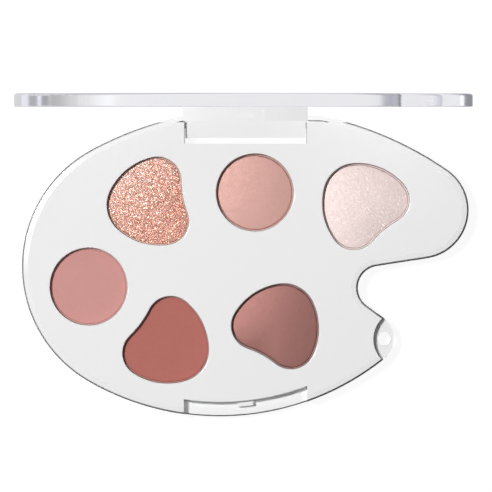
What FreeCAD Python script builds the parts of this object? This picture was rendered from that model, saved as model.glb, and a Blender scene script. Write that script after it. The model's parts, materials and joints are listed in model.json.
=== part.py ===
# Eyeshadow palette: a hinged compact with the outline of a painter's palette. Six pans of pressed powder
# lie in the base, and the lid, which carries a mirror, stands open against its stop.
# Millimetres. +X runs to the right along the hinge, +Y to the back, and +Z up from the bottom face.
import FreeCAD, Part
import math
import os

# Palette outline, anticlockwise: the edge rolls round four circles, and the thumb notch is a hollow one.
LEFT_LOBE_AT = (-24.0, 0.15)
LEFT_LOBE_R = 35.15
EYELET_LOBE_AT = (32.2, -18.95)
EYELET_LOBE_R = 7.0
THUMB_NOTCH_AT = (35.45, -5.5)
THUMB_NOTCH_R = 5.75
RIGHT_LOBE_AT = (46.05, 15.05)
RIGHT_LOBE_R = 12.95
FRONT_BOW_R = 69.5
BACK_BOW_R = 90.0
BACK_FLAT_SAG = 1.845

# The flat at the back lies below the back bow's crown, which follows from the two lobes that the bow touches
lobe_gap = math.hypot(RIGHT_LOBE_AT[0] - LEFT_LOBE_AT[0], RIGHT_LOBE_AT[1] - LEFT_LOBE_AT[1])
lobe_tilt = math.atan2(RIGHT_LOBE_AT[1] - LEFT_LOBE_AT[1], RIGHT_LOBE_AT[0] - LEFT_LOBE_AT[0])
left_reach = BACK_BOW_R - LEFT_LOBE_R
right_reach = BACK_BOW_R - RIGHT_LOBE_R
bow_turn = math.acos((left_reach ** 2 + lobe_gap ** 2 - right_reach ** 2) / (2 * left_reach * lobe_gap))
back_crown = LEFT_LOBE_AT[1] + left_reach * math.sin(lobe_tilt - bow_turn) + BACK_BOW_R
back_flat = back_crown - BACK_FLAT_SAG

# Base: casing below, deck plate on top
BASE_HEIGHT = 8.6
DECK_PLATE = 1.6
DECK_INSET = 0.1
DECK_SLOPE_WIDTH = 1.2
DECK_SLOPE_FALL = 0.15
DECK_BEVEL_WIDTH = 0.45
DECK_BEVEL_FALL = 1.2
SHELL_WALL = 1.2
SHELL_FLOOR = 1.2
FOOT_ROUND = 0.5

# Round wells, and dented wells with two shoulders and a heel; the dent faces along the well's own x
ROUND_WELL_R = 10.2
SHOULDER_X = 2.9
SHOULDER_Y = 5.4
SHOULDER_R = 6.3
HEEL_X = 2.95
HEEL_R = 8.55
SIDE_BOW_R = 16.3
DENT_R = 25.0
WELL_WALL = 1.0
WELL_FLOOR = 1.0
WELL_LIP_ROUND = 0.35
ROSE_LAND = 7.55
SATIN_LAND = 10.15

# Name, shape, place and direction of the dent of each well; the rose well keeps its land to the left end,
# and the satin well its land to the flat at the back
WELLS = [
    ("glitter", "dented", (-25.1, 16.9), 10.7),
    ("satin", "round", (2.5, back_flat - SATIN_LAND - ROUND_WELL_R), 0.0),
    ("shimmer", "dented", (31.0, 16.5), -50.4),
    ("rose", "round", (LEFT_LOBE_AT[0] - LEFT_LOBE_R + ROSE_LAND + ROUND_WELL_R, -5.2), 0.0),
    ("terracotta", "dented", (-20.6, -20.1), 143.7),
    ("mauve", "dented", (8.7, -15.55), -118.7),
]

# Pans, powder and the adhesive pads that hold the pans
PAN_FIT = 0.1
PAN_SHEET = 0.25
PAN_DEPTH = 2.8
PAN_RIM_DROP = 1.5
POWDER_DROP = 0.3
POWDER_EDGE_ROUND = 0.15
PAD_R = 4.5
PAD_THICK = 0.3

# Posts under the wells, and pins of the deck in bosses of the casing
POST_R = 3.0
POST_WALL = 1.0
DECK_PINS_AT = [(-46.0, 15.0), (-37.0, -24.0), (22.0, -5.0), (50.0, 18.0), (-9.0, 1.0)]
DECK_PIN_R = 1.0
DECK_PIN_LENGTH = 4.0
DECK_PIN_FIT = 0.02
DECK_PIN_END_GAP = 0.4
BOSS_WALL = 1.0

# Key-ring tab: scoops in the side above and below a thin pierced tab
TAB_DROP = 2.6
TAB_THICK = 2.2
TAB_HOLE_AT = (36.8, -19.1)
TAB_HOLE_R = 1.8
SCOOP_AT = (41.6, -19.1)
SCOOP_R = 7.5
SCOOP_DRAFT = 8.0

# Hinge: axis, lug of the lid, cheeks of the casing and pins
HINGE_SETBACK = 2.5
HINGE_DROP = 4.95
OPEN_ANGLE = 88.0
LUG_HALF = 15.9
LUG_FRONT = 3.0
LUG_BACK = 0.8
LUG_FLOOR_GAP = 0.45
LUG_SIDE_GAP = 0.3
LUG_SWEEP_GAP = 0.4
BARREL_R = 1.5
CHEEK = 4.8
HINGE_PIN_R = 0.75
HINGE_PIN_LENGTH = 8.5
HINGE_PIN_GRIP = 4.0
HINGE_PIN_END_GAP = 0.3
HINGE_PIN_RUN = 0.05
HINGE_PIN_PRESS = 0.01
RAIL_GAP = 0.2
STOP_GAP = 0.06
DECK_BACK_REACH = 0.7
GROOVE_DEPTH = 2.0

# Front catch: tongue of the lid, notch of the base and the nub that snaps into the tongue's window
TONGUE_HALF = 15.45
TONGUE_INSET = 1.4
TONGUE_THICK = 1.5
TONGUE_LENGTH = 3.65
TONGUE_SIDE_GAP = 0.85
TONGUE_BACK_GAP = 0.7
TONGUE_END_GAP = 0.3
LEDGE_BEVEL_WIDTH = 0.4
LEDGE_BEVEL_FALL = 1.0
SLIT_AT = 4.45
SLIT_WIDTH = 0.5
SLIT_LENGTH = 2.9
NUB_HALF = 2.1
NUB_PROUD = 1.1
NUB_HEIGHT = 0.7
CATCH_DROP = 2.2
WINDOW_GAP = 0.2

# Lid: silver cover, white frame inside it, mirror on tape in the frame
LID_GAP = 0.15
LID_THICK = 3.45
LID_PLATE = 1.1
LID_WALL = 1.2
LID_FIT = 0.1
LID_EDGE_ROUND = 0.7
LID_RIM_ROUND = 0.3
FRAME_DROP = 0.2
MIRROR_BORDER = 8.0
MIRROR_RIGHT_AT = (18.5, 12.0)
MIRROR_RIGHT_R = 14.0
MIRROR_BOW_R = 80.0
MIRROR_THICK = 0.95
MIRROR_FIT = 0.15
TAPE_THICK = 0.25
TAPE_MARGIN = 1.5

# Levels and places that follow from the sizes above
deck_top = BASE_HEIGHT
parting = deck_top - DECK_PLATE
bevel_top = deck_top - DECK_SLOPE_FALL
bevel_low = bevel_top - DECK_BEVEL_FALL
bevel_inset = DECK_INSET + DECK_BEVEL_WIDTH
pan_bottom = deck_top - PAN_RIM_DROP - PAN_DEPTH
well_floor = pan_bottom - PAD_THICK
well_under = well_floor - WELL_FLOOR
powder_top = deck_top - PAN_RIM_DROP - POWDER_DROP
tab_top = deck_top - TAB_DROP
tab_low = tab_top - TAB_THICK

lid_low = deck_top + LID_GAP
lid_top = lid_low + LID_THICK
frame_face = lid_low + FRAME_DROP
frame_back = lid_top - LID_PLATE

axis_y = back_flat - HINGE_SETBACK
axis_z = lid_low - HINGE_DROP
lug_drop = axis_z - LUG_FLOOR_GAP
recess_half = LUG_HALF + LUG_SIDE_GAP
recess_front = axis_y - math.hypot(LUG_FRONT, lug_drop) - LUG_SWEEP_GAP
deck_back = axis_y + DECK_BACK_REACH

notch_half = TONGUE_HALF + TONGUE_SIDE_GAP
notch_depth = TONGUE_INSET + TONGUE_THICK + TONGUE_BACK_GAP
tongue_low = frame_face - TONGUE_LENGTH
ledge_top = tongue_low - TONGUE_END_GAP
ledge_low = ledge_top - LEDGE_BEVEL_FALL
catch_z = lid_low - CATCH_DROP

# A cutter reaches this far past the object
PAST = 10.0
FAR = 4 * (LEFT_LOBE_R + RIGHT_LOBE_R)

V = FreeCAD.Vector


def direction(angle):
    return V(math.cos(angle), math.sin(angle), 0)


def angle_of(vector):
    return math.atan2(vector.y, vector.x)


def straight_ends(c1, r1, c2, r2):
    """Ends of the straight edge that is tangent to two circles, with the solid on its left."""
    along = c2 - c1
    lean = math.asin((r2 - r1) / along.Length)
    normal = direction(angle_of(along) + math.pi / 2 - lean)
    return c1 - normal * r1, c2 - normal * r2


def bow_ends(c1, r1, c2, r2, bow):
    """Centre and ends of the arc of radius bow that is tangent to two circles."""
    along = c2 - c1
    reach1 = abs(bow - r1)
    reach2 = abs(bow - r2)
    ahead = (reach1 ** 2 - reach2 ** 2 + along.Length ** 2) / (2 * along.Length)
    aside = math.copysign(math.sqrt(reach1 ** 2 - ahead ** 2), bow)
    heading = angle_of(along)
    centre = c1 + direction(heading) * ahead + direction(heading + math.pi / 2) * aside
    start = centre - (c1 - centre) * (bow / (r1 - bow))
    end = centre - (c2 - centre) * (bow / (r2 - bow))
    return centre, start, end


def arc(centre, radius, start, end):
    """Arc from start to end, anticlockwise for a positive radius and clockwise for a negative one."""
    first = angle_of(start - centre)
    turn = angle_of(end - centre) - first
    turn = turn % (2 * math.pi) if radius > 0 else -(-turn % (2 * math.pi))
    middle = centre + direction(first + turn / 2) * abs(radius)
    return Part.Arc(start, middle, end).toShape()


def ring_face(circles, bows, inset=0.0):
    """Face whose edge rolls anticlockwise round circles, joined by straights (None) or bows.

    A negative radius is a hollow. An inset moves the whole edge inwards, parallel to itself."""
    circles = [(centre, radius - inset) for centre, radius in circles]
    joins = []
    for i, bow in enumerate(bows):
        pair = circles[i] + circles[(i + 1) % len(circles)]
        if bow is None:
            joins.append((None, None) + straight_ends(*pair))
        else:
            centre, start, end = bow_ends(*pair, bow - inset)
            joins.append((centre, bow - inset, start, end))
    edges = []
    for i, (centre, radius) in enumerate(circles):
        bow_centre, bow_radius, start, end = joins[i]
        edges.append(arc(centre, radius, joins[i - 1][3], start))
        if bow_centre is None:
            edges.append(Part.LineSegment(start, end).toShape())
        else:
            edges.append(arc(bow_centre, bow_radius, start, end))
    return Part.Face(Part.Wire(edges))


def slab(face, low, high):
    lifted = face.copy()
    lifted.translate(V(0, 0, low))
    return lifted.extrude(V(0, 0, high - low))


def block(x, y, z):
    """Box from three (low, high) pairs."""
    return Part.makeBox(x[1] - x[0], y[1] - y[0], z[1] - z[0], V(x[0], y[0], z[0]))


def rod(radius, at, low, high):
    """Upright cylinder at an (x, y) place."""
    return Part.makeCylinder(radius, high - low, V(at[0], at[1], low))


def hinge_rod(radius, left, right):
    """Cylinder on the hinge axis."""
    return Part.makeCylinder(radius, right - left, V(left, axis_y, axis_z), V(1, 0, 0))


def level_edges(shape, z):
    """Edges that lie wholly at one height."""
    flat = []
    for edge in shape.Edges:
        box = edge.BoundBox
        if abs(box.ZMin - z) < 1e-4 and abs(box.ZMax - z) < 1e-4:
            flat.append(edge)
    return flat


def outline_face(inset):
    circles = [
        (V(*LEFT_LOBE_AT), LEFT_LOBE_R),
        (V(*EYELET_LOBE_AT), EYELET_LOBE_R),
        (V(*THUMB_NOTCH_AT), -THUMB_NOTCH_R),
        (V(*RIGHT_LOBE_AT), RIGHT_LOBE_R),
    ]
    return ring_face(circles, [FRONT_BOW_R, None, None, BACK_BOW_R], inset)


def palette(inset, low, high, back=back_flat):
    """Slab with the palette's outline, cut straight at the back."""
    behind = block((-FAR, FAR), (back - inset, FAR), (low - PAST, high + PAST))
    return slab(outline_face(inset), low, high).cut(behind)


def leaning_palette(low_inset, low, high_inset, high):
    """Slab with the whole outline, whose side leans from one inset to another."""
    wires = []
    for inset, z in ((low_inset, low), (high_inset, high)):
        wire = outline_face(inset).OuterWire
        wire.translate(V(0, 0, z))
        wires.append(wire)
    return Part.makeLoft(wires, True, True)


def front_strip(depth, half, low, high):
    """Everything in front of the outline's parallel at a depth, over a width about the middle."""
    strip = block((-half, half), (-FAR, 0), (low, high))
    return strip.cut(palette(depth, low - PAST, high + PAST))


def front_bevel(low_depth, low, high_depth, high):
    """What a bevel takes off along the front of the notch, from one depth to another."""
    strip = block((-notch_half, notch_half), (-FAR, 0), (low, high))
    return strip.cut(leaning_palette(low_depth, low, high_depth, high))


def well_face(shape, at, dent, grow=0.0):
    """Outline of a well, or of what fits in it, at its place on the deck."""
    if shape == "round":
        face = Part.Face(Part.Wire(Part.makeCircle(ROUND_WELL_R + grow, V(0, 0, 0))))
    else:
        circles = [
            (V(SHOULDER_X, -SHOULDER_Y), SHOULDER_R),
            (V(SHOULDER_X, SHOULDER_Y), SHOULDER_R),
            (V(-HEEL_X, 0), HEEL_R),
        ]
        face = ring_face(circles, [-DENT_R, SIDE_BOW_R, SIDE_BOW_R], -grow)
    face.rotate(V(0, 0, 0), V(0, 0, 1), dent)
    face.translate(V(at[0], at[1], 0))
    return face


def scoops(grow):
    """Tapered cutters above and below the key-ring tab, which they leave standing out of the side."""
    taper = math.tan(math.radians(SCOOP_DRAFT))
    radius = SCOOP_R + grow
    rise = deck_top + PAST - tab_top
    fall = tab_low + PAST
    above = Part.makeCone(radius, radius + taper * rise, rise, V(*SCOOP_AT, tab_top))
    below = Part.makeCone(radius, radius + taper * fall, fall, V(*SCOOP_AT, tab_low), V(0, 0, -1))
    return [above, below]


def hinge_recess(low, high):
    return block((-recess_half, recess_half), (recess_front, FAR), (low, high))


def stop_rail():
    """Rail behind the barrel, on which the lug's underside comes to rest when the lid is open."""
    opened = math.radians(OPEN_ANGLE)
    front = BARREL_R + RAIL_GAP
    lug_under = (front * math.cos(opened) - LUG_BACK) / math.sin(opened)
    return block((-recess_half, recess_half), (axis_y + front, FAR), (-PAST, axis_z + lug_under - STOP_GAP))


def make_base_shell():
    body = palette(0, 0, parting)
    body = body.makeFillet(FOOT_ROUND, level_edges(body, 0))
    hollow = palette(SHELL_WALL, SHELL_FLOOR, parting + PAST)
    cheek_outer = recess_half + CHEEK
    cheek_x = (-cheek_outer, cheek_outer)
    hinge_block = block(cheek_x, (recess_front - SHELL_WALL, deck_back), (0, parting + PAST))
    hinge_block = hinge_block.fuse(block(cheek_x, (deck_back, FAR), (0, parting - GROOVE_DEPTH)))
    step_z = (ledge_top - SHELL_WALL, parting + PAST)
    front_step = front_strip(notch_depth + SHELL_WALL, notch_half + SHELL_WALL, *step_z)
    tab_root = rod(SCOOP_R + SHELL_WALL, SCOOP_AT, tab_low, tab_top)
    hollow = hollow.cut([hinge_block, front_step, tab_root] + scoops(SHELL_WALL))
    shell = body.cut(hollow)
    shell = shell.cut(hinge_recess(-PAST, parting + PAST).cut(stop_rail()))
    shell = shell.cut(hinge_rod(HINGE_PIN_R + HINGE_PIN_PRESS, -cheek_outer, cheek_outer))
    shell = shell.cut(front_strip(notch_depth, notch_half, ledge_top, parting + PAST))
    shell = shell.cut(front_bevel(0, ledge_low, LEDGE_BEVEL_WIDTH, ledge_top))
    shell = shell.cut(scoops(0))
    shell = shell.cut(rod(TAB_HOLE_R, TAB_HOLE_AT, -PAST, parting))

    added = []
    for name, shape, at, dent in WELLS:
        post = rod(POST_R, at, SHELL_FLOOR, well_under)
        added.append(post.cut(rod(POST_R - POST_WALL, at, SHELL_FLOOR, well_under)))
    for at in DECK_PINS_AT:
        boss = rod(DECK_PIN_R + BOSS_WALL, at, SHELL_FLOOR, parting)
        bore_low = parting - DECK_PIN_LENGTH - DECK_PIN_END_GAP
        added.append(boss.cut(rod(DECK_PIN_R + DECK_PIN_FIT, at, bore_low, parting)))
    nub_z = (catch_z - NUB_HEIGHT / 2, catch_z + NUB_HEIGHT / 2)
    nub = front_strip(notch_depth + SHELL_WALL / 2, NUB_HALF, *nub_z)
    added.append(nub.common(palette(notch_depth - NUB_PROUD, *nub_z)))
    return shell.fuse(added).removeSplitter()


def make_deck_tray():
    deck = palette(DECK_INSET, parting, bevel_low, FAR)
    bevel = leaning_palette(DECK_INSET, bevel_low, bevel_inset, bevel_top)
    slope = leaning_palette(bevel_inset, bevel_top, bevel_inset + DECK_SLOPE_WIDTH, deck_top)
    deck = deck.fuse([bevel, slope])
    deck = deck.cut(block((-FAR, FAR), (deck_back, FAR), (parting - PAST, deck_top + PAST)))
    cups = [slab(well_face(shape, at, dent, WELL_WALL), well_under, parting) for _, shape, at, dent in WELLS]
    pins = [rod(DECK_PIN_R, at, parting - DECK_PIN_LENGTH, parting) for at in DECK_PINS_AT]
    deck = deck.fuse(cups + pins)
    for _, shape, at, dent in WELLS:
        opening = slab(well_face(shape, at, dent), well_floor, deck_top + PAST)
        deck = deck.cut(opening)
        reach = opening.BoundBox
        lip = [e for e in level_edges(deck, deck_top) if reach.isInside(e.BoundBox)]
        deck = deck.makeFillet(WELL_LIP_ROUND, lip)
    deck = deck.cut(hinge_recess(parting - PAST, deck_top + PAST))
    deck = deck.cut(front_strip(notch_depth, notch_half, ledge_top, deck_top + PAST))
    deck = deck.cut(front_bevel(notch_depth, bevel_low, notch_depth + DECK_BEVEL_WIDTH, deck_top))
    return deck.cut(scoops(0)).removeSplitter()


def make_pan(shape, at, dent):
    rim = deck_top - PAN_RIM_DROP
    outside = slab(well_face(shape, at, dent, -PAN_FIT), pan_bottom, rim)
    inside = slab(well_face(shape, at, dent, -PAN_FIT - PAN_SHEET), pan_bottom + PAN_SHEET, rim)
    return outside.cut(inside)


def make_powder(shape, at, dent):
    cake = slab(well_face(shape, at, dent, -PAN_FIT - PAN_SHEET), pan_bottom + PAN_SHEET, powder_top)
    return cake.makeFillet(POWDER_EDGE_ROUND, level_edges(cake, powder_top))


def make_pan_pads():
    return Part.makeCompound([rod(PAD_R, at, well_floor, pan_bottom) for _, _, at, _ in WELLS])


def make_hinge_pin(side):
    inner = recess_half - HINGE_PIN_GRIP
    ends = sorted((side * inner, side * (inner + HINGE_PIN_LENGTH)))
    return hinge_rod(HINGE_PIN_R, *ends)


def mirror_face(inset=0.0):
    circles = [(V(*LEFT_LOBE_AT), LEFT_LOBE_R - MIRROR_BORDER), (V(*MIRROR_RIGHT_AT), MIRROR_RIGHT_R)]
    return ring_face(circles, [MIRROR_BOW_R, MIRROR_BOW_R], inset)


def make_lid_cover():
    cover = palette(0, lid_low, lid_top)
    cover = cover.makeFillet(LID_EDGE_ROUND, level_edges(cover, lid_top))
    cover = cover.makeFillet(LID_RIM_ROUND, level_edges(cover, lid_low))
    return cover.cut(palette(LID_WALL, lid_low - PAST, frame_back))


def make_hinge_lug():
    z = (axis_z - lug_drop, frame_face)
    lug = block((-LUG_HALF, LUG_HALF), (axis_y - LUG_FRONT, axis_y + LUG_BACK), z)
    lug = lug.fuse(hinge_rod(BARREL_R, -LUG_HALF, LUG_HALF))
    for side in (-1, 1):
        depth = HINGE_PIN_GRIP - LUG_SIDE_GAP + HINGE_PIN_END_GAP
        ends = sorted((side * (LUG_HALF - depth), side * LUG_HALF))
        lug = lug.cut(hinge_rod(HINGE_PIN_R + HINGE_PIN_RUN, *ends))
    return lug


def make_tongue():
    back = TONGUE_INSET + TONGUE_THICK
    tongue = front_strip(back, TONGUE_HALF, tongue_low, frame_face)
    tongue = tongue.common(palette(TONGUE_INSET, tongue_low, frame_face))
    for side in (-1, 1):
        slit_x = (side * SLIT_AT - SLIT_WIDTH / 2, side * SLIT_AT + SLIT_WIDTH / 2)
        tongue = tongue.cut(block(slit_x, (-FAR, 0), (tongue_low, tongue_low + SLIT_LENGTH)))
    half = NUB_HALF + WINDOW_GAP
    rise = NUB_HEIGHT / 2 + WINDOW_GAP
    return tongue.cut(block((-half, half), (-FAR, 0), (catch_z - rise, catch_z + rise)))


def make_lid_frame():
    frame = palette(LID_WALL + LID_FIT, frame_face, frame_back)
    frame = frame.cut(slab(mirror_face(-MIRROR_FIT), frame_face, frame_face + MIRROR_THICK + TAPE_THICK))
    return frame.fuse([make_hinge_lug(), make_tongue()]).removeSplitter()


def make_mirror():
    return slab(mirror_face(), frame_face, frame_face + MIRROR_THICK)


def make_mirror_tape():
    low = frame_face + MIRROR_THICK
    return slab(mirror_face(TAPE_MARGIN), low, low + TAPE_THICK)


def opened(shape):
    """A lid piece turned from closed to its open rest against the stop."""
    shape.rotate(V(0, axis_y, axis_z), V(1, 0, 0), -OPEN_ANGLE)
    return shape


def build():
    nodes = {"base_shell": make_base_shell(), "deck_tray": make_deck_tray(), "pan_pads": make_pan_pads()}
    for name, shape, at, dent in WELLS:
        nodes["pan_" + name] = make_pan(shape, at, dent)
        nodes["powder_" + name] = make_powder(shape, at, dent)
    nodes["hinge_pin_left"] = make_hinge_pin(-1)
    nodes["hinge_pin_right"] = make_hinge_pin(1)
    nodes["lid_cover"] = opened(make_lid_cover())
    nodes["lid_frame"] = opened(make_lid_frame())
    nodes["mirror"] = opened(make_mirror())
    nodes["mirror_tape"] = opened(make_mirror_tape())
    return nodes


os.makedirs("parts", exist_ok=True)
for node, shape in build().items():
    shape.exportStep("parts/" + node + ".step")
    print(node, len(shape.Solids), shape.isValid(), round(shape.Volume, 2))
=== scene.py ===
"""Finishes, pressed powders and stage for a hinged eyeshadow palette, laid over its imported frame."""
import json
import math
import random

import bpy
import numpy as np
from mathutils import Euler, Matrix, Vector, noise


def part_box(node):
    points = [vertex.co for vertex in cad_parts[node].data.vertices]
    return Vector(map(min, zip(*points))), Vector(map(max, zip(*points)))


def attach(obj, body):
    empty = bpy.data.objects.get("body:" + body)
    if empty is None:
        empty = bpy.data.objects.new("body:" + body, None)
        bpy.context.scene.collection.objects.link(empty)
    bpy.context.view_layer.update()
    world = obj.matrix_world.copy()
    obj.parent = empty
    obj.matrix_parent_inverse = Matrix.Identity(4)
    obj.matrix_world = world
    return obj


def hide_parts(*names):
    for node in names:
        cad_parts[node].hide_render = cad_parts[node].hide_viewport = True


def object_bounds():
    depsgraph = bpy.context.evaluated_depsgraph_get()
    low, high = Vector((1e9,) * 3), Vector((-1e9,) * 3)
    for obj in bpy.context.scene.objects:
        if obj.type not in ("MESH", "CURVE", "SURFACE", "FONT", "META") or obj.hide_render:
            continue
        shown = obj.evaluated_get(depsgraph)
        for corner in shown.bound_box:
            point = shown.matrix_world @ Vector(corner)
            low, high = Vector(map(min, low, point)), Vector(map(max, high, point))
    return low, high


bl_info = {
    "name": "Eyeshadow palette finish",
    "version": (1, 0, 0),
    "blender": (4, 5, 0),
    "location": "3D View > Sidebar > Palette",
    "description": "Finishes, pressed powders and stage for a hinged eyeshadow palette",
    "category": "Object",
}

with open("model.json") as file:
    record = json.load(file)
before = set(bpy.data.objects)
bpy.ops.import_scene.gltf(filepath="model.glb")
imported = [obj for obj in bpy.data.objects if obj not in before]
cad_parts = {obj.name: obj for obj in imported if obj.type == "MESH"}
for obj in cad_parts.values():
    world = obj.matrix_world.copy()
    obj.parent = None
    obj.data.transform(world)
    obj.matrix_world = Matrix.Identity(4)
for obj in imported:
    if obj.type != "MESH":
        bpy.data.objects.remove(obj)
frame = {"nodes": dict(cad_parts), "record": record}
CAD_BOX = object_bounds()

MM = 0.001
WHITE = (1.0, 1.0, 1.0, 1.0)
BLACK = (0.0, 0.0, 0.0, 1.0)
BASE_BODY = "base"
LID_NODES = ("lid_cover", "lid_frame", "mirror", "mirror_tape")
POWDERS = ("glitter", "satin", "shimmer", "rose", "terracotta", "mauve")

# Boxes where shade is painted on the casing: round the lower edge of the front ledge and round the scoop
# behind the key-ring tab
LEDGE_SHADE_BOX = ((-16.3 * MM, -41.0 * MM, 3.95 * MM), (16.3 * MM, -33.0 * MM, 4.75 * MM))
TAB_SCOOP_SHADE_BOX = ((28.0 * MM, -24.4 * MM, 6.06 * MM), (38.6 * MM, -12.5 * MM, 7.2 * MM))

# Reach of a well from the middle of its powder, and the direction faced by the back left walls, away from the
# key lamp, where powder dust and painted shade are laid
WELL_REACH = 12.7 * MM
WELL_FADE = 0.3 * MM
SHADED_WALL_FACING = (0.82, -0.57, 0.0)

# A cake's mesh: spokes round it, rings across its face and rings in its rounded edge
CAKE_SPOKES = 240
CAKE_FACE_RINGS = 44
CAKE_EDGE_RINGS = 6
CAKE_WALL_GAP = 0.02 * MM

# Sizes of the waves in a cake's worn edge and of its press marks, and heights as shares of a lump
EDGE_WAVE = 1.1 * MM
PRESS_WAVE = 6 * MM
PRESS_SHARE = 0.25
FINE_SHARE = 0.5
FINE_RATIO = 2.3

# A flake: its sides, and as shares of its radius the depth of its point below and its margin from the rim
FLAKE_SIDES = 6
FLAKE_POINT = 0.15
FLAKE_MARGIN = 0.7

# Sockets of a Mix node for each kind of data: first value, second value and result
MIX_SOCKETS = {"FLOAT": (2, 3, 0), "RGBA": (6, 7, 2)}

# Brightness of the mirrored surroundings from the horizon to overhead, as (height, level) stops
LEFT_SKY = ((0.0, 0.5), (0.19, 0.62), (0.55, 0.93), (0.67, 1.2), (0.73, 1.0), (1.0, 0.97))
RIGHT_SKY = ((0.0, 0.95), (0.12, 0.97), (1.0, 0.96))

# A sky that fades towards the horizon needs this much more strength to light the deck as an even one does
FADED_SKY_GAIN = 1.5

FLOOR_HALF = 4.0
CARD_DEPTH = 0.1
CARD_LILAC = (0.96, 0.97, 1.06)
# A dark sheet under the base, seen only in reflections, is painted shade of the floor round the palette
SHEET_SIDES = 96
SHEET_HALF = (78 * MM, 58 * MM)
SHEET_SHADE_LEVEL = 0.06


def slot_colour(slot):
    """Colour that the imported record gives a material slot."""
    for material in frame["record"]["materials"]:
        if material["slot"] == slot:
            return tuple(material["base_color"])
    raise ValueError("the record has no slot " + slot)


def colour_property(name, description, default):
    return bpy.props.FloatVectorProperty(
        name=name, description=description, default=default, subtype="COLOR", size=3, min=0.0, max=1.0
    )


def length_property(name, description, default):
    return bpy.props.FloatProperty(
        name=name, description=description, default=default, min=0.0, unit="LENGTH", precision=5
    )


def share_property(name, description, default):
    return bpy.props.FloatProperty(
        name=name, description=description, default=default, min=0.0, max=1.0, subtype="FACTOR"
    )


def power_property(name, description, default):
    return bpy.props.FloatProperty(name=name, description=description, default=default, min=0.0, unit="POWER")


def angle_property(name, description, degrees):
    return bpy.props.FloatProperty(
        name=name, description=description, default=math.radians(degrees), subtype="ANGLE"
    )


class PaletteCaseSettings(bpy.types.PropertyGroup):
    """Casing, lid and metal parts."""

    plastic_colour: colour_property("Plastic", "Colour of the moulded casing", slot_colour("white_gloss"))
    frame_colour: colour_property("Lid frame", "Colour of the lid's inner frame", (0.89, 0.89, 0.89))
    # Painted shade: a dark colour laid on seams, undercut edges and the tab's scoop wall in place of their
    # shadow
    painted_shade_colour: colour_property("Seam", "Colour of shaded seams and undercut edges", (0.12, 0.12, 0.12))
    plastic_roughness: share_property("Plastic roughness", "Mean roughness of the casing", 0.13)
    lid_colour: colour_property("Lid", "Colour of the metallised lid", (0.88, 0.88, 0.91))
    lid_roughness: share_property("Lid roughness", "Mean roughness of the lid", 0.13)
    mirror_colour: colour_property("Mirror", "Colour of the silvered glass", slot_colour("mirror_glass"))
    pan_colour: colour_property("Pan", "Colour of the pan's sheet metal", slot_colour("pan_metal"))
    pin_colour: colour_property("Pin", "Colour of the hinge pins", slot_colour("pin_steel"))
    adhesive_colour: colour_property("Adhesive", "Colour of the pads and the tape", slot_colour("adhesive"))


class PalettePowderSettings(bpy.types.PropertyGroup):
    """Colours and surface of the pressed powders."""

    glitter: colour_property("Glitter", "Ground colour of the glitter", (0.5, 0.25, 0.2))
    satin: colour_property("Satin", "Ground colour of the pale satin powder", (0.398, 0.222, 0.193))
    shimmer: colour_property("Shimmer", "Ground colour of the shimmer powder", (0.555, 0.455, 0.438))
    rose: colour_property("Rose", "Colour of the matte rose powder", (0.6, 0.288, 0.265))
    terracotta: colour_property("Terracotta", "Colour of the matte red powder", (0.43, 0.137, 0.112))
    mauve: colour_property("Mauve", "Ground colour of the brown satin powder", (0.188, 0.081, 0.071))
    # On the deck this colour stands for powder dust and painted shade on the wells' shaded back left walls
    dust: colour_property("Dust", "Colour of the dust on the wells' back left walls", (0.38, 0.13, 0.11))
    matte_crown: length_property("Matte crown", "Rise of a matte cake's middle", 0.06 * MM)
    satin_crown: length_property("Satin crown", "Rise of a satin or sparkling cake's middle", 0.3 * MM)
    mauve_crown: length_property("Mauve crown", "Rise of the brown satin cake's middle", 0.38 * MM)
    edge_round: length_property("Edge round", "Radius of a cake's worn edge", 0.22 * MM)
    flake_count: bpy.props.IntProperty(name="Flakes", description="Glitter flakes", default=16000, min=0)
    flake_size: length_property("Flake size", "Radius of a large flake", 0.145 * MM)
    sparkle_count: bpy.props.IntProperty(name="Sparkles", description="Shimmer plates", default=2000, min=0)
    sparkle_size: length_property("Sparkle size", "Radius of a large shimmer plate", 0.09 * MM)


class PaletteStageSettings(bpy.types.PropertyGroup):
    """Camera, lamps and floor. A lamp's turn runs from the left towards the back."""

    camera_at: bpy.props.FloatVectorProperty(
        name="Camera", description="Place of the camera, which looks straight down", subtype="XYZ",
        unit="LENGTH", default=(0.13 * MM, 5.54 * MM, 1060.6 * MM), precision=5
    )
    lens: bpy.props.FloatProperty(name="Lens", description="Focal length in millimetres", default=291.6)
    key_power: power_property("Key", "Power of the key lamp", 14.8)
    key_turn: angle_property("Key turn", "Turn of the key lamp", 25)
    key_height: angle_property("Key height", "Angle of both key lamps above the floor", 68)
    lid_key_power: power_property("Lid key", "Power of the lamp for the lid's frame", 13.6)
    lid_key_turn: angle_property("Lid key turn", "Turn of the lamp for the lid's frame", -12)
    fill_power: power_property("Fill", "Power of each low lamp for the walls", 5.5)
    fill_height: angle_property("Fill height", "Angle of the low lamps above the floor", 3)
    front_fill_turn: angle_property("Front fill turn", "Turn of the low lamp in front", -80)
    right_fill_turn: angle_property("Right fill turn", "Turn of the low lamp on the right", -170)
    lamp_size: length_property("Lamp size", "Side of each square lamp", 0.2)
    lamp_distance: length_property("Lamp distance", "Distance of each lamp from the palette", 1.3)
    ambient: share_property("Ambient", "Light on the deck from overhead surroundings", 0.12)
    floor_glow: share_property("Floor glow", "Share of white that the floor shows by itself", 0.92)
    floor_mirrored: share_property("Floor mirrored", "Share of that white which gloss and mirrors show", 0.65)
    floor_colour: colour_property("Floor", "Colour of the floor under the lamps", (0.11, 0.11, 0.11))


def opaque(colour):
    return (*colour, 1.0)


def scaled(colour, factor):
    return tuple(min(1.0, channel * factor) for channel in colour)


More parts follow.
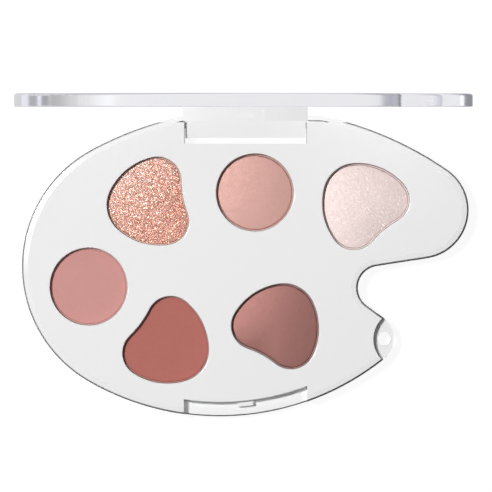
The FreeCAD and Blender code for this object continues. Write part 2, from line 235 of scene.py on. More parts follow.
def feed(socket, value):
    """Links an input to another node's output, or sets it to a plain value."""
    if isinstance(value, bpy.types.NodeSocket):
        socket.id_data.links.new(value, socket)
    else:
        socket.default_value = value


def set_inputs(node, **values):
    """Feeds inputs by name, with an underscore for each space."""
    for key, value in values.items():
        feed(node.inputs[key.replace("_", " ")], value)
    return node


def add_node(tree, kind, **values):
    """Node of a kind with its properties set."""
    node = tree.nodes.new(kind)
    for key, value in values.items():
        setattr(node, key, value)
    return node


def math_of(tree, operation, first, second, clamp=False):
    """Result of a Math node on two outputs or numbers."""
    node = add_node(tree, "ShaderNodeMath", operation=operation, use_clamp=clamp)
    feed(node.inputs[0], first)
    feed(node.inputs[1], second)
    return node.outputs[0]


def vector_math(tree, operation, *values):
    """Vector Math node fed with outputs or plain vectors."""
    node = add_node(tree, "ShaderNodeVectorMath", operation=operation)
    for socket, value in zip(node.inputs, values):
        feed(socket, value)
    return node


def split_vector(tree, vector):
    """The outputs X, Y and Z of a vector."""
    return set_inputs(tree.nodes.new("ShaderNodeSeparateXYZ"), Vector=vector).outputs


def scaled_vector(tree, vector, scale, shift=(0.0, 0.0, 0.0)):
    """Vector multiplied by a scale for each axis and then shifted."""
    node = set_inputs(tree.nodes.new("ShaderNodeMapping"), Vector=vector, Scale=scale, Location=shift)
    return node.outputs["Vector"]


def mapped(tree, value, start, end, low=0.0, high=1.0):
    """Value mapped so that start becomes low and end becomes high, and held there outside them."""
    node = tree.nodes.new("ShaderNodeMapRange")
    return set_inputs(
        node, Value=value, From_Min=start, From_Max=end, To_Min=low, To_Max=high
    ).outputs["Result"]


def mixed(tree, kind, share, first, second):
    """Mix of two numbers or colours, which goes from the first to the second as the share rises."""
    node = add_node(tree, "ShaderNodeMix", data_type=kind)
    first_at, second_at, result_at = MIX_SOCKETS[kind]
    feed(node.inputs[0], share)
    feed(node.inputs[first_at], first)
    feed(node.inputs[second_at], second)
    return node.outputs[result_at]


def ramped(tree, value, stops):
    """Colour for a value, from a ramp of (place, colour) stops in order from 0 to 1."""
    ramp = set_inputs(tree.nodes.new("ShaderNodeValToRGB"), Fac=value)
    points = ramp.color_ramp.elements
    for place, _ in stops[1:-1]:
        points.new(place)
    for point, (_, colour) in zip(points, stops):
        point.color = opaque(colour)
    return ramp.outputs["Color"]


def object_vector(tree):
    return tree.nodes.new("ShaderNodeTexCoord").outputs["Object"]


def new_material(name):
    """Material with a Principled shader; returns it, its nodes and the shader."""
    material = bpy.data.materials.new(name)
    material.use_nodes = True
    tree = material.node_tree
    return material, tree, tree.nodes["Principled BSDF"]


def new_group(name, inputs, outputs):
    """Shader node group with (name, socket type, default) inputs and (name, socket type) outputs."""
    tree = bpy.data.node_groups.new(name, "ShaderNodeTree")
    for label, kind, default in inputs:
        socket = tree.interface.new_socket(label, in_out="INPUT", socket_type=kind)
        if default is not None:
            socket.default_value = default
    for label, kind in outputs:
        tree.interface.new_socket(label, in_out="OUTPUT", socket_type=kind)
    return tree, tree.nodes.new("NodeGroupInput").outputs, tree.nodes.new("NodeGroupOutput")


def add_pattern(tree, kind, given, scale, **values):
    """Texture node in a group, fed with the group's vector and one of its scales."""
    return set_inputs(tree.nodes.new(kind), Vector=given["Vector"], Scale=given[scale], **values)


def tone_drift_group():
    """Slow and fine changes of a colour over a surface."""
    name = "tone_drift"
    if name in bpy.data.node_groups:
        return bpy.data.node_groups[name]
    tree, given, out = new_group(
        name,
        [
            ("Vector", "NodeSocketVector", None),
            ("Pale", "NodeSocketColor", WHITE),
            ("Deep", "NodeSocketColor", (0.8, 0.8, 0.8, 1.0)),
            ("Slow Scale", "NodeSocketFloat", 60.0),
            ("Fine Scale", "NodeSocketFloat", 2000.0),
            ("Fine Share", "NodeSocketFloat", 0.5),
        ],
        [("Color", "NodeSocketColor"), ("Mask", "NodeSocketFloat")],
    )
    slow = add_pattern(tree, "ShaderNodeTexNoise", given, "Slow Scale", Detail=3.0, Roughness=0.55)
    fine = add_pattern(tree, "ShaderNodeTexNoise", given, "Fine Scale", Detail=4.0, Roughness=0.7)
    mask = mixed(tree, "FLOAT", given["Fine Share"], slow.outputs["Fac"], fine.outputs["Fac"])
    set_inputs(out, Color=mixed(tree, "RGBA", mask, given["Pale"], given["Deep"]), Mask=mask)
    return tree


def handled_gloss_group():
    """Roughness of a polished surface with soft patches from handling."""
    name = "handled_gloss"
    if name in bpy.data.node_groups:
        return bpy.data.node_groups[name]
    tree, given, out = new_group(
        name,
        [
            ("Vector", "NodeSocketVector", None),
            ("Polished", "NodeSocketFloat", 0.1),
            ("Rubbed", "NodeSocketFloat", 0.2),
            ("Patch Scale", "NodeSocketFloat", 90.0),
        ],
        [("Roughness", "NodeSocketFloat")],
    )
    patches = add_pattern(
        tree, "ShaderNodeTexNoise", given, "Patch Scale", Detail=5.0, Roughness=0.6, Distortion=0.4
    )
    rough = mapped(tree, patches.outputs["Fac"], 0.35, 0.7, given["Polished"], given["Rubbed"])
    set_inputs(out, Roughness=rough)
    return tree


def grain_group():
    """Height of a fine grain: soft lumps with sharper specks between them."""
    name = "grain"
    if name in bpy.data.node_groups:
        return bpy.data.node_groups[name]
    tree, given, out = new_group(
        name,
        [
            ("Vector", "NodeSocketVector", None),
            ("Lump Scale", "NodeSocketFloat", 1500.0),
            ("Speck Scale", "NodeSocketFloat", 6000.0),
            ("Speck Share", "NodeSocketFloat", 0.4),
        ],
        [("Height", "NodeSocketFloat")],
    )
    lumps = add_pattern(tree, "ShaderNodeTexNoise", given, "Lump Scale", Detail=3.0)
    specks = add_pattern(tree, "ShaderNodeTexVoronoi", given, "Speck Scale")
    height = mixed(tree, "FLOAT", given["Speck Share"], lumps.outputs["Fac"], specks.outputs["Distance"])
    set_inputs(out, Height=height)
    return tree


def place_group(tree, group, vector, **values):
    """Outputs of a group fed with a texture vector and its own values."""
    node = add_node(tree, "ShaderNodeGroup", node_tree=group)
    return set_inputs(node, Vector=vector, **values).outputs


def drifting_tone(tree, vector, pale, deep, slow, fine, fine_share):
    """Outputs of the tone drift between two colours, for a slow and a fine scale."""
    return place_group(
        tree, tone_drift_group(), vector, Pale=opaque(pale), Deep=opaque(deep),
        Slow_Scale=slow, Fine_Scale=fine, Fine_Share=fine_share
    )


class Finish:
    """Material built up in layers: a drifting tone, then gloss and grain where the piece has them."""

    def __init__(self, name, stretch=(1.0, 1.0, 1.0), **values):
        """The stretch squeezes the layers' patterns along an axis; the values are the shader's inputs."""
        self.material, self.tree, self.shader = new_material(name)
        self.vector = scaled_vector(self.tree, object_vector(self.tree), stretch)
        self.colour = None
        set_inputs(self.shader, **values)

    def tone(self, pale, deep, slow, fine, fine_share):
        self.paint(drifting_tone(self.tree, self.vector, pale, deep, slow, fine, fine_share)["Color"])

    def paint(self, colour):
        self.colour = colour
        set_inputs(self.shader, Base_Color=colour)

    def gloss(self, scale, polished, rubbed):
        patches = place_group(
            self.tree, handled_gloss_group(), self.vector, Patch_Scale=scale, Polished=polished, Rubbed=rubbed
        )
        set_inputs(self.shader, Roughness=patches["Roughness"])

    def grain(self, lumps, specks, speck_share, depth):
        grain = place_group(
            self.tree, grain_group(), self.vector,
            Lump_Scale=lumps, Speck_Scale=specks, Speck_Share=speck_share
        )
        bump = set_inputs(
            self.tree.nodes.new("ShaderNodeBump"), Strength=1.0, Distance=depth, Height=grain["Height"]
        )
        set_inputs(self.shader, Normal=bump.outputs["Normal"])


def white_gloss(case, name, colour):
    """Glossy white moulded plastic with a faint orange peel."""
    finish = Finish(name, Specular_IOR_Level=0.4)
    finish.tone(colour, scaled(colour, 0.975), slow=35.0, fine=900.0, fine_share=0.3)
    rough = case.plastic_roughness
    finish.gloss(scale=70.0, polished=rough * 0.8, rubbed=rough * 1.3)
    finish.grain(lumps=450.0, specks=2500.0, speck_share=0.1, depth=0.004 * MM)
    return finish


def well_distance(tree, position):
    """Distance of a point from the middle of the nearest powder."""
    nearest = None
    for name in POWDERS:
        low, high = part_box("powder_" + name)
        away = vector_math(tree, "DISTANCE", position, (low + high) / 2).outputs["Value"]
        nearest = away if nearest is None else math_of(tree, "MINIMUM", nearest, away)
    return nearest


def box_mask(tree, position, low, high):
    """Mask of the points inside a box, with a narrow fade beyond its faces."""
    scale = [2 / (b - a) for a, b in zip(low, high)]
    shift = [-(a + b) / (b - a) for a, b in zip(low, high)]
    inside = scaled_vector(tree, position, scale, shift)
    size = split_vector(tree, vector_math(tree, "ABSOLUTE", inside).outputs["Vector"])
    wide = math_of(tree, "MAXIMUM", size["X"], size["Y"])
    return mapped(tree, math_of(tree, "MAXIMUM", wide, size["Z"]), 1.05, 1.0)


def tinted(tree, colour, tint, *masks):
    """Colour covered with a tint where all the masks are."""
    cover = masks[0]
    for mask in masks[1:]:
        cover = math_of(tree, "MULTIPLY", cover, mask)
    return mixed(tree, "RGBA", cover, colour, opaque(tint))


def casing_material(case):
    """White plastic, with painted shade under the ledge's edge and on the scoop behind the key-ring tab."""
    finish = white_gloss(case, "white_gloss_casing", case.plastic_colour)
    tree = finish.tree
    position = object_vector(tree)
    for low, high in (LEDGE_SHADE_BOX, TAB_SCOOP_SHADE_BOX):
        # Painted shade: the shade colour covers the casing inside each box
        finish.paint(tinted(tree, finish.colour, case.painted_shade_colour, box_mask(tree, position, low, high)))
    return finish.material


def deck_material(case, powder):
    """White plastic, with powder dust and painted shade on the wells' back left walls, which face away from
    the key lamp, and a painted shade line low on the outer edge's bevel.
    """
    finish = white_gloss(case, "white_gloss_deck", case.plastic_colour)
    tree = finish.tree
    position = object_vector(tree)
    normal = tree.nodes.new("ShaderNodeTexCoord").outputs["Normal"]
    height = split_vector(tree, position)["Z"]
    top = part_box("deck_tray")[1].z
    away = well_distance(tree, position)
    in_well = mapped(tree, away, WELL_REACH + WELL_FADE, WELL_REACH)
    outside = mapped(tree, away, WELL_REACH, WELL_REACH + WELL_FADE)
    # Powder dust and painted shade: the dust colour goes only on well walls that face away from the key lamp
    facing = vector_math(tree, "DOT_PRODUCT", normal, SHADED_WALL_FACING).outputs["Value"]
    shaded_wall_mask = mapped(tree, facing, -0.4, 0.4)
    deep = mapped(tree, height, top - 0.03 * MM, top - 0.2 * MM)
    # Painted shade: a dark line low on the outer edge's bevel, outside the wells
    painted_edge_shade = mapped(tree, height, top - 0.7 * MM, top - 0.95 * MM)
    finish.paint(tinted(tree, finish.colour, powder.dust, in_well, deep, shaded_wall_mask))
    finish.paint(tinted(tree, finish.colour, case.painted_shade_colour, outside, painted_edge_shade))
    return finish.material


def lid_silver_material(case):
    """Metallised plastic, silver with a lilac cast."""
    finish = Finish("metallised_lilac_silver", Metallic=1.0)
    finish.tone(case.lid_colour, scaled(case.lid_colour, 0.95), slow=25.0, fine=5000.0, fine_share=0.35)
    finish.gloss(scale=60.0, polished=case.lid_roughness * 0.8, rubbed=case.lid_roughness * 1.5)
    finish.grain(lumps=500.0, specks=7000.0, speck_share=0.2, depth=0.002 * MM)
    return finish.material


def mirror_material(case):
    """Silvered glass with a trace of wiping marks."""
    finish = Finish("silvered_glass", Metallic=1.0)
    finish.tone(case.mirror_colour, scaled(case.mirror_colour, 0.97), slow=20.0, fine=400.0, fine_share=0.2)
    finish.gloss(scale=45.0, polished=0.01, rubbed=0.035)
    return finish.material


def adhesive_material(case):
    """Cloudy adhesive film."""
    finish = Finish("adhesive_film", Roughness=0.55)
    pale = case.adhesive_colour
    finish.tone(pale, scaled(pale, 0.85), slow=120.0, fine=1500.0, fine_share=0.5)
    finish.grain(lumps=900.0, specks=3000.0, speck_share=0.3, depth=0.01 * MM)
    return finish.material


def pin_material(case):
    """Drawn steel wire, streaked along the hinge."""
    finish = Finish("drawn_steel_wire", stretch=(0.04, 1.0, 1.0), Metallic=1.0)
    finish.tone(case.pin_colour, scaled(case.pin_colour, 0.75), slow=800.0, fine=6000.0, fine_share=0.5)
    finish.gloss(scale=2500.0, polished=0.22, rubbed=0.4)
    finish.grain(lumps=4000.0, specks=9000.0, speck_share=0.3, depth=0.004 * MM)
    return finish.material


def pan_material(case, name, powder_colour):
    """Pressed sheet metal with a film of its powder on the rim."""
    finish = Finish("dusted_pan_" + name)
    tree = finish.tree
    pale = scaled(powder_colour, 1.15)
    deep = scaled(powder_colour, 0.9)
    finish.tone(case.pan_colour, scaled(case.pan_colour, 0.8), slow=200.0, fine=4000.0, fine_share=0.5)
    dust = drifting_tone(tree, finish.vector, pale, deep, slow=900.0, fine=7000.0, fine_share=0.5)
    cover = mapped(tree, dust["Mask"], 0.3, 0.5, 1.0, 0.85)
    finish.paint(mixed(tree, "RGBA", cover, finish.colour, dust["Color"]))
    set_inputs(
        finish.shader, Metallic=mapped(tree, cover, 0.0, 1.0, 0.9, 0.1),
        Roughness=mapped(tree, cover, 0.0, 1.0, 0.35, 0.9)
    )
    return finish.material


def powder_material(name, colour, roughness, metallic, grain_depth, contrast):
    """Pressed powder: mottled pigment, fine grain and, where it is satin, a pearl sheen."""
    finish = Finish("pressed_" + name, Metallic=metallic)
    pale = scaled(colour, 1.0 + contrast)
    deep = scaled(colour, 1.0 - contrast)
    finish.tone(pale, deep, slow=180.0, fine=2400.0, fine_share=0.6)
    finish.gloss(scale=1200.0, polished=roughness * 0.92, rubbed=min(1.0, roughness * 1.08))
    finish.grain(lumps=1400.0, specks=7000.0, speck_share=0.55, depth=grain_depth)
    return finish.material


def flake_material(name, stops, roughness):
    """Metallic flakes, each with its own tint from a ramp of (place, colour) stops."""
    material, tree, shader = new_material(name)
    tint = add_node(tree, "ShaderNodeAttribute", attribute_name="tint")
    set_inputs(
        shader, Metallic=1.0, Roughness=roughness, Base_Color=ramped(tree, tint.outputs["Fac"], stops)
    )
    return material


def dress(node, material):
    """Gives a CAD node's object its finish."""
    for slot in frame["nodes"][node].material_slots:
        slot.material = material


def mesh_object(name, verts, faces, smooth=True):
    mesh = bpy.data.meshes.new(name)
    mesh.from_pydata(verts, [], faces)
    mesh.validate()
    mesh.update()
    if smooth:
        mesh.shade_smooth()
        mesh.set_sharp_from_angle(angle=math.radians(50))
    thing = bpy.data.objects.new(name, mesh)
    bpy.context.scene.collection.objects.link(thing)
    return thing


class CakeOutline:
    """Outline of a powder cake, read from its CAD node: a middle and a reach for each direction."""

    def __init__(self, node):
        self.low, self.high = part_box(node)
        self.middle = (self.low + self.high) / 2
        mesh = frame["nodes"][node].data
        foot = [v.co for v in mesh.vertices if v.co.z < self.low.z + CAKE_WALL_GAP]
        polar = sorted(
            (math.atan2(p.y - self.middle.y, p.x - self.middle.x),
             math.hypot(p.x - self.middle.x, p.y - self.middle.y)) for p in foot
        )
        rim = [pair for pair in polar if pair[1] > CAKE_WALL_GAP]
        self.angles = [pair[0] for pair in rim]
        self.reaches = [pair[1] for pair in rim]

    def reach(self, angle):
        return float(np.interp(angle, self.angles, self.reaches, period=2 * math.pi)) - CAKE_WALL_GAP

    def at(self, angle, radius, z):
        return Vector((
            self.middle.x + radius * math.cos(angle), self.middle.y + radius * math.sin(angle), z
        ))


class CakeSurface:
    """Height of a pressed face: a crown, broad press marks, grain and an edge that crumbles a little."""

    def __init__(self, outline, crown, edge_round, lump, lump_size, seed):
        self.outline = outline
        self.crown = crown
        self.edge_round = edge_round
        self.lump = lump
        self.lump_size = lump_size
        self.shift = Vector((seed * 7.3, seed * 3.1, seed * 1.7))

    def wave(self, x, y, size):
        return noise.noise(Vector((x / size, y / size, 0)) + self.shift)

    def height(self, angle, radius):
        reach = self.outline.reach(angle)
        x = radius * math.cos(angle)
        y = radius * math.sin(angle)
        worn = self.edge_round * (1.0 + 0.5 * self.wave(x, y, EDGE_WAVE))
        inside = min(1.0, max(0.0, (reach - radius) / worn))
        drop = worn * (1.0 - math.sqrt(1.0 - (1.0 - inside) ** 2))
        rise = self.crown * (1.0 - (radius / reach) ** 2)
        press = PRESS_SHARE * self.lump * self.wave(x, y, PRESS_WAVE)
        grain = self.lump * self.wave(x, y, self.lump_size)
        grain += FINE_SHARE * self.lump * self.wave(x, y, self.lump_size / FINE_RATIO)
        return self.outline.high.z + rise + press + grain - drop


def cake_object(name, surface):
    """Closed mesh of a powder cake on a polar grid."""
    outline = surface.outline
    shares = [i / CAKE_FACE_RINGS for i in range(1, CAKE_FACE_RINGS)]
    face_end = shares[-1]
    for i in range(CAKE_EDGE_RINGS):
        shares.append(face_end + (1.0 - face_end) * math.sin(math.pi / 2 * (i + 1) / CAKE_EDGE_RINGS))
    turns = [2 * math.pi * k / CAKE_SPOKES - math.pi for k in range(CAKE_SPOKES)]
    verts = [outline.at(0, 0, surface.height(0, 0))]
    for share in shares:
        for turn in turns:
            radius = share * outline.reach(turn)
            verts.append(outline.at(turn, radius, surface.height(turn, radius)))
    for turn in turns:
        verts.append(outline.at(turn, outline.reach(turn), outline.low.z))
    verts.append(outline.at(0, 0, outline.low.z))

    faces = []
    rows = len(shares) + 1
    last = len(verts) - 1
    for k in range(CAKE_SPOKES):
        n = (k + 1) % CAKE_SPOKES
        faces.append((0, 1 + k, 1 + n))
        for row in range(rows - 1):
            a = 1 + row * CAKE_SPOKES
            b = a + CAKE_SPOKES
            faces.append((a + k, b + k, b + n, a + n))
        foot = 1 + (rows - 1) * CAKE_SPOKES
        faces.append((foot + k, last, foot + n))
    return mesh_object(name, verts, faces)


def flakes_object(name, surface, count, size, tilt, lift, painted_highlight, seed):
    """Hexagonal plates strewn on a cake, each with a tint of its own, with a painted highlight that makes
    them paler towards the back left.
    """
    draw = random.Random(seed)
    outline = surface.outline
    verts = []
    faces = []
    tints = []
    for _ in range(count):
        turn = draw.uniform(-math.pi, math.pi)
        radius = math.sqrt(draw.random()) * (outline.reach(turn) - FLAKE_MARGIN * size)
        lean = Euler((draw.gauss(0, tilt), draw.gauss(0, tilt), draw.uniform(0, math.pi))).to_matrix()
        across = size * draw.uniform(0.45, 1.0)
        middle = outline.at(turn, radius, surface.height(turn, radius) + lift * draw.uniform(0.2, 1.0))
        first = len(verts)
        for k in range(FLAKE_SIDES):
            angle = 2 * math.pi * k / FLAKE_SIDES
            corner = Vector((across * math.cos(angle), across * math.sin(angle), 0))
            verts.append(middle + lean @ corner)
        verts.append(middle - lean @ Vector((0, 0, FLAKE_POINT * across)))
        top = [first + k for k in range(FLAKE_SIDES)]
        point = first + FLAKE_SIDES
        faces.append(top)
        for k in range(FLAKE_SIDES):
            faces.append((top[(k + 1) % FLAKE_SIDES], top[k], point))
        # Painted highlight: flakes towards the back left, on the key lamp's side, get paler tints
        lit = painted_highlight * (math.sin(turn) - math.cos(turn)) * radius / outline.reach(turn)
        tints += [min(1.0, max(0.0, draw.random() + lit))] * (FLAKE_SIDES + 1)
    thing = mesh_object(name, verts, faces, smooth=False)
    thing.data.attributes.new("tint", "FLOAT", "POINT").data.foreach_set("value", tints)
    return thing


def press_cake(powder, name, crown, lump, lump_size, seed, **finish):
    """Cake that stands for the CAD powder of the same name; returns its surface."""
    outline = CakeOutline("powder_" + name)
    surface = CakeSurface(outline, crown, powder.edge_round, lump, lump_size, seed)
    cake = cake_object("cake_" + name, surface)
    cake.data.materials.append(powder_material(name, tuple(getattr(powder, name)), **finish))
    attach(cake, BASE_BODY)
    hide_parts("powder_" + name)
    return surface


def strew(flakes, material):
    """Leaves a cake's flakes lying on it, as part of its powder."""
    flakes.data.materials.append(material)
    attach(flakes, BASE_BODY)


class PALETTE_OT_mould_plastic(bpy.types.Operator):
    """Gives the casing, the deck and the lid's frame their white gloss"""

    bl_idname = "palette.mould_plastic"
    bl_label = "Mould plastic"

    def execute(self, context):
        case = context.scene.palette_case
        dress("base_shell", casing_material(case))
        dress("lid_frame", white_gloss(case, "white_gloss_frame", case.frame_colour).material)
        dress("deck_tray", deck_material(case, context.scene.palette_powder))
        return {"FINISHED"}


class PALETTE_OT_metallise_lid(bpy.types.Operator):
    """Gives the lid's cover its lilac silver"""

    bl_idname = "palette.metallise_lid"
    bl_label = "Metallise lid"

    def execute(self, context):
        dress("lid_cover", lid_silver_material(context.scene.palette_case))
        return {"FINISHED"}


class PALETTE_OT_silver_mirror(bpy.types.Operator):
    """Silvers the lid's mirror"""

    bl_idname = "palette.silver_mirror"
    bl_label = "Silver mirror"

    def execute(self, context):
        dress("mirror", mirror_material(context.scene.palette_case))
        return {"FINISHED"}


class PALETTE_OT_stick_adhesive(bpy.types.Operator):
    """Finishes the pads under the pans and the tape behind the mirror"""

    bl_idname = "palette.stick_adhesive"
    bl_label = "Stick adhesive"

    def execute(self, context):
        material = adhesive_material(context.scene.palette_case)
        for node in ("pan_pads", "mirror_tape"):
            dress(node, material)
        return {"FINISHED"}


class PALETTE_OT_draw_pins(bpy.types.Operator):
    """Gives the hinge pins their drawn steel"""

    bl_idname = "palette.draw_pins"
    bl_label = "Draw pins"

    def execute(self, context):
        material = pin_material(context.scene.palette_case)
        for node in ("hinge_pin_left", "hinge_pin_right"):
            dress(node, material)
        return {"FINISHED"}


class PALETTE_OT_stamp_pans(bpy.types.Operator):
    """Gives each pan its sheet metal, dusted with its powder"""

    bl_idname = "palette.stamp_pans"
    bl_label = "Stamp pans"

    def execute(self, context):
        case = context.scene.palette_case
        for name in POWDERS:
            dress("pan_" + name, pan_material(case, name, slot_colour("powder_" + name)))
        return {"FINISHED"}


class PALETTE_OT_press_mattes(bpy.types.Operator):
    """Presses the matte powders"""

    bl_idname = "palette.press_mattes"
    bl_label = "Press matte powders"

    def execute(self, context):
        powder = context.scene.palette_powder
        for seed, name in enumerate(("rose", "terracotta")):
            press_cake(
                powder, name, powder.matte_crown, 0.012 * MM, 0.5 * MM, seed,
                roughness=0.85, metallic=0.0, grain_depth=0.03 * MM, contrast=0.09
            )
        return {"FINISHED"}


class PALETTE_OT_press_satins(bpy.types.Operator):
    """Presses the satin powders"""

    bl_idname = "palette.press_satins"
    bl_label = "Press satin powders"

    def execute(self, context):
        powder = context.scene.palette_powder
        looks = (("satin", powder.satin_crown, 0.5, 0.5, 11), ("mauve", powder.mauve_crown, 0.44, 0.68, 12))
        for name, crown, roughness, metallic, seed in looks:
            press_cake(
                powder, name, crown, 0.006 * MM, 0.5 * MM, seed,
                roughness=roughness, metallic=metallic, grain_depth=0.02 * MM, contrast=0.06
            )
        return {"FINISHED"}


class PALETTE_OT_press_shimmer(bpy.types.Operator):
    """Presses the shimmer powder and strews its fine plates"""

    bl_idname = "palette.press_shimmer"
    bl_label = "Press shimmer powder"

    def execute(self, context):
        powder = context.scene.palette_powder
        surface = press_cake(
            powder, "shimmer", powder.satin_crown, 0.005 * MM, 0.3 * MM, 21,
            roughness=0.45, metallic=0.35, grain_depth=0.03 * MM, contrast=0.05
        )
        plates = flakes_object(
            "shimmer_plates", surface, powder.sparkle_count, powder.sparkle_size,
            tilt=math.radians(11), lift=0.01 * MM, painted_highlight=0.0, seed=5
        )
        stops = ((0.0, (0.49, 0.41, 0.39)), (0.5, (0.57, 0.47, 0.47)), (1.0, (0.68, 0.6, 0.55)))
        strew(plates, flake_material("shimmer_plates", stops, roughness=0.46))
        return {"FINISHED"}


class PALETTE_OT_press_glitter(bpy.types.Operator):
    """Presses the glitter cake and strews its flakes"""

    bl_idname = "palette.press_glitter"
    bl_label = "Press glitter"

    def execute(self, context):
        powder = context.scene.palette_powder
        surface = press_cake(
            powder, "glitter", powder.satin_crown, 0.05 * MM, 0.9 * MM, 31,
            roughness=0.5, metallic=0.4, grain_depth=0.05 * MM, contrast=0.12
        )
        flakes = flakes_object(
            "glitter_flakes", surface, powder.flake_count, powder.flake_size,
            tilt=math.radians(13), lift=0.06 * MM, painted_highlight=0.12, seed=9
        )
        stops = (
            (0.0, (0.27, 0.09, 0.065)), (0.3, (0.38, 0.17, 0.128)), (0.6, (0.46, 0.26, 0.2)),
            (0.8, (0.5, 0.34, 0.24)), (0.9, (0.52, 0.34, 0.37)), (1.0, (0.66, 0.52, 0.48)),
        )
        strew(flakes, flake_material("glitter_flakes", stops, roughness=0.4))
        return {"FINISHED"}


class PALETTE_OT_set_stage(bpy.types.Operator):
    """Sets the floor, the lamps, the surroundings and the camera"""

    bl_idname = "palette.set_stage"
    bl_label = "Set stage"

    def execute(self, context):
        stage = context.scene.palette_stage
        self.lay_floor(stage)
        self.lay_cards()
        self.lay_painted_shade(stage)
        self.hang_lamps(stage)
        self.light_world(context.scene, stage)
        self.aim_camera(context.scene, stage)
        context.scene.view_settings.view_transform = "Standard"
        return {"FINISHED"}

    def lay_floor(self, stage):
        """Floor that shows white by itself and still takes the lamps' light and the palette's shadow."""
        half = FLOOR_HALF
        low = CAD_BOX[0].z - 0.1 * MM
        corners = [(-half, -half, low), (half, -half, low), (half, half, low), (-half, half, low)]
        floor = mesh_object("floor", corners, [(0, 1, 2, 3)], smooth=False)
        material, tree, shader = new_material("floor_paper")
        direct, mirrored = self.shown_rays(tree)
        dimmed = math_of(tree, "MULTIPLY", mirrored, stage.floor_mirrored)
        shown = math_of(tree, "MAXIMUM", direct, dimmed)
        set_inputs(
            shader, Base_Color=opaque(stage.floor_colour), Roughness=0.9, Emission_Color=WHITE,
            Emission_Strength=math_of(tree, "MULTIPLY", shown, stage.floor_glow)
        )
        floor.data.materials.append(material)

    def lay_cards(self):
        """Grey and white cards beside the lid, which only polished surfaces show."""
        left = CAD_BOX[0].x
        right = CAD_BOX[1].x
        floor = CAD_BOX[0].z
        top = CAD_BOX[1].z
        notch = right + 3 * MM
        cards = (
            ("left_white", (left - 78 * MM, floor), (left - 45 * MM, floor), 0.86),
            ("left_grey", (left - 165 * MM, floor), (left - 88 * MM, floor), 0.4),
            ("far_left_white", (left - 240 * MM, floor), (left - 180 * MM, floor), 0.95),
            ("far_left_grey", (left - 950 * MM, floor), (left - 260 * MM, floor), 0.3),
            ("right_grey", (right + 10 * MM, floor), (right + 90 * MM, floor), 0.28),
            ("right_white", (right + 110 * MM, floor), (right + 900 * MM, floor), 1.1),
            ("notch_grey", (notch, top - 30 * MM), (notch, top - 5.5 * MM), 0.47),
        )
        for name, start, end, level in cards:
            ends = ((start, 0.0), (end, 0.0), (end, CARD_DEPTH), (start, CARD_DEPTH))
            corners = [(x, y, z) for (x, z), y in ends]
            card = mesh_object("card_" + name, corners, [(0, 1, 2, 3)], smooth=False)
            material, tree, shader = new_material("card_" + name)
            lilac = opaque(level * share for share in CARD_LILAC)
            set_inputs(shader, Base_Color=BLACK, Emission_Color=lilac, Emission_Strength=1.0)
            self.show_in_gloss(card, material)

    def show_in_gloss(self, thing, material):
        """Hides a lit surface from all but reflections."""
        thing.data.materials.append(material)
        thing.visible_camera = False
        thing.visible_diffuse = False
        thing.visible_shadow = False

    def lay_painted_shade(self, stage):
        """Dark sheet under the base, fading into the floor, that only reflections show: painted shade of the
        floor round the palette, which draws the edges of glossy pieces.
        """
        across, deep = SHEET_HALF
        z = CAD_BOX[0].z - 0.05 * MM
        turns = [2 * math.pi * k / SHEET_SIDES for k in range(SHEET_SIDES)]
        rim = [(across * math.cos(turn), deep * math.sin(turn), z) for turn in turns]
        shade_sheet = mesh_object("shade_sheet", rim, [tuple(range(SHEET_SIDES))], smooth=False)
        material, tree, shader = new_material("shade_sheet")
        place = scaled_vector(tree, object_vector(tree), (1 / across, 1 / deep, 0))
        away = vector_math(tree, "LENGTH", place).outputs["Value"]
        rim_level = stage.floor_glow * stage.floor_mirrored + stage.floor_colour[0]
        level = mapped(tree, away, 0.85, 1.0, SHEET_SHADE_LEVEL, rim_level)
        set_inputs(shader, Base_Color=BLACK, Emission_Color=WHITE, Emission_Strength=level)
        self.show_in_gloss(shade_sheet, material)

    def shown_rays(self, tree):
        """Masks of the rays that show the background: from the camera, and mirrored or passed through.

        Light that a mirror throws on a matt surface is not among them.
        """
        rays = tree.nodes.new("ShaderNodeLightPath").outputs
        turned = math_of(tree, "MAXIMUM", rays["Is Glossy Ray"], rays["Is Transmission Ray"])
        sharp = math_of(tree, "LESS_THAN", rays["Diffuse Depth"], 0.5)
        return rays["Is Camera Ray"], math_of(tree, "MULTIPLY", turned, sharp)

    def hang_lamps(self, stage):
        """Steep key from the back left, its like for the lid's frame, and low fills for the upright walls."""
        key = self.hang_lamp("key", stage, stage.key_power, stage.key_height, stage.key_turn)
        key.light_linking.receiver_collection = self.all_but("key_receivers", ("lid_cover", "lid_frame"))
        key.light_linking.blocker_collection = self.all_but("key_blockers", LID_NODES)
        lid = self.hang_lamp("lid_key", stage, stage.lid_key_power, stage.key_height, stage.lid_key_turn)
        lid.light_linking.receiver_collection = self.only("lid_key_receivers", ("lid_frame",))
        walls = self.only("fill_receivers", ("base_shell", "lid_frame"))
        for name, turn in (("front_fill", stage.front_fill_turn), ("right_fill", stage.right_fill_turn)):
            fill = self.hang_lamp(name, stage, stage.fill_power, stage.fill_height, turn)
            fill.light_linking.receiver_collection = walls

    def hang_lamp(self, name, stage, power, height, turn):
        """Square lamp aimed at the palette, hidden from the camera."""
        lamp = bpy.data.lights.new(name, "AREA")
        lamp.shape = "SQUARE"
        lamp.size = stage.lamp_size
        lamp.energy = power
        thing = bpy.data.objects.new(name, lamp)
        level = math.cos(height)
        out = Vector((-level * math.cos(turn), level * math.sin(turn), math.sin(height)))
        thing.location = out * stage.lamp_distance
        thing.rotation_euler = out.to_track_quat("Z", "Y").to_euler()
        thing.visible_camera = False
        bpy.context.scene.collection.objects.link(thing)
        return thing

    def only(self, name, nodes):
        """Collection of the nodes' objects."""
        group = bpy.data.collections.new(name)
        for node in nodes:
            group.objects.link(frame["nodes"][node])
        return group

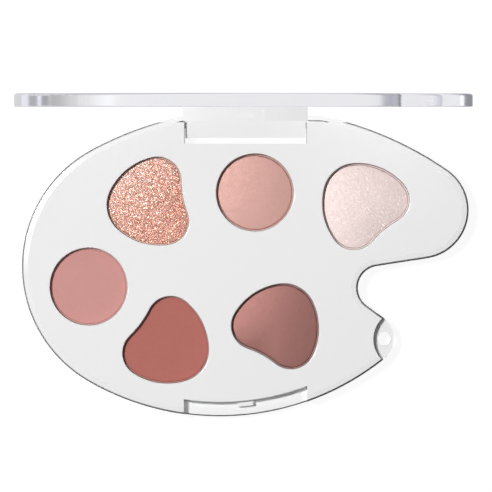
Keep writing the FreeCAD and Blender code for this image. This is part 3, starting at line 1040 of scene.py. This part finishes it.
    def all_but(self, name, nodes):
        """Collection that stands for everything except the nodes."""
        group = self.only(name, nodes)
        for member in group.collection_objects:
            member.light_linking.link_state = "EXCLUDE"
        return group

    def sky(self, tree, height, stops):
        """Grey of the mirrored surroundings at a height."""
        return ramped(tree, height, [(place, (level, level, level)) for place, level in stops])

    def light_world(self, scene, stage):
        """Dim light from overhead, and brighter surroundings that only the camera and gloss see."""
        world = bpy.data.worlds.new("studio")
        world.use_nodes = True
        scene.world = world
        tree = world.node_tree
        toward = split_vector(tree, tree.nodes.new("ShaderNodeTexCoord").outputs["Generated"])
        overhead = math_of(tree, "MULTIPLY", toward["Z"], FADED_SKY_GAIN * stage.ambient, clamp=True)
        even = set_inputs(tree.nodes["Background"], Color=WHITE, Strength=overhead)
        left = self.sky(tree, toward["Z"], LEFT_SKY)
        right = self.sky(tree, toward["Z"], RIGHT_SKY)
        colour = mixed(tree, "RGBA", mapped(tree, toward["X"], -0.1, 0.1), left, right)
        seen = set_inputs(tree.nodes.new("ShaderNodeBackground"), Color=colour)
        direct, mirrored = self.shown_rays(tree)
        shown = math_of(tree, "MAXIMUM", direct, mirrored)
        mix = set_inputs(tree.nodes.new("ShaderNodeMixShader"), Fac=shown)
        feed(mix.inputs[1], even.outputs["Background"])
        feed(mix.inputs[2], seen.outputs["Background"])
        set_inputs(tree.nodes["World Output"], Surface=mix.outputs["Shader"])

    def aim_camera(self, scene, stage):
        lens = bpy.data.cameras.new("camera")
        lens.lens = stage.lens
        lens.clip_start = 0.01
        lens.clip_end = 20.0
        camera = bpy.data.objects.new("camera", lens)
        camera.location = stage.camera_at
        scene.collection.objects.link(camera)
        scene.camera = camera


class PALETTE_PT_finish(bpy.types.Panel):
    """Sizes, colours and steps of the palette's finish"""

    bl_label = "Palette"
    bl_idname = "PALETTE_PT_finish"
    bl_space_type = "VIEW_3D"
    bl_region_type = "UI"
    bl_category = "Palette"

    def draw(self, context):
        for label, group in GROUPS.items():
            box = self.layout.box()
            settings = getattr(context.scene, label)
            for key in group.__annotations__:
                box.prop(settings, key)
        for step in STEPS:
            self.layout.operator(step.bl_idname)


GROUPS = {
    "palette_case": PaletteCaseSettings,
    "palette_powder": PalettePowderSettings,
    "palette_stage": PaletteStageSettings,
}
STEPS = (
    PALETTE_OT_set_stage,
    PALETTE_OT_mould_plastic,
    PALETTE_OT_metallise_lid,
    PALETTE_OT_silver_mirror,
    PALETTE_OT_stick_adhesive,
    PALETTE_OT_draw_pins,
    PALETTE_OT_stamp_pans,
    PALETTE_OT_press_mattes,
    PALETTE_OT_press_satins,
    PALETTE_OT_press_shimmer,
    PALETTE_OT_press_glitter,
)
CLASSES = (*GROUPS.values(), *STEPS, PALETTE_PT_finish)


def register():
    for kind in CLASSES:
        bpy.utils.register_class(kind)
    for label, group in GROUPS.items():
        setattr(bpy.types.Scene, label, bpy.props.PointerProperty(type=group))


def unregister():
    for label in GROUPS:
        delattr(bpy.types.Scene, label)
    for kind in reversed(CLASSES):
        bpy.utils.unregister_class(kind)


def main():
    register()
    for step in STEPS:
        group, action = step.bl_idname.split(".")
        getattr(getattr(bpy.ops, group), action)()


if __name__ == "__main__":
    main()
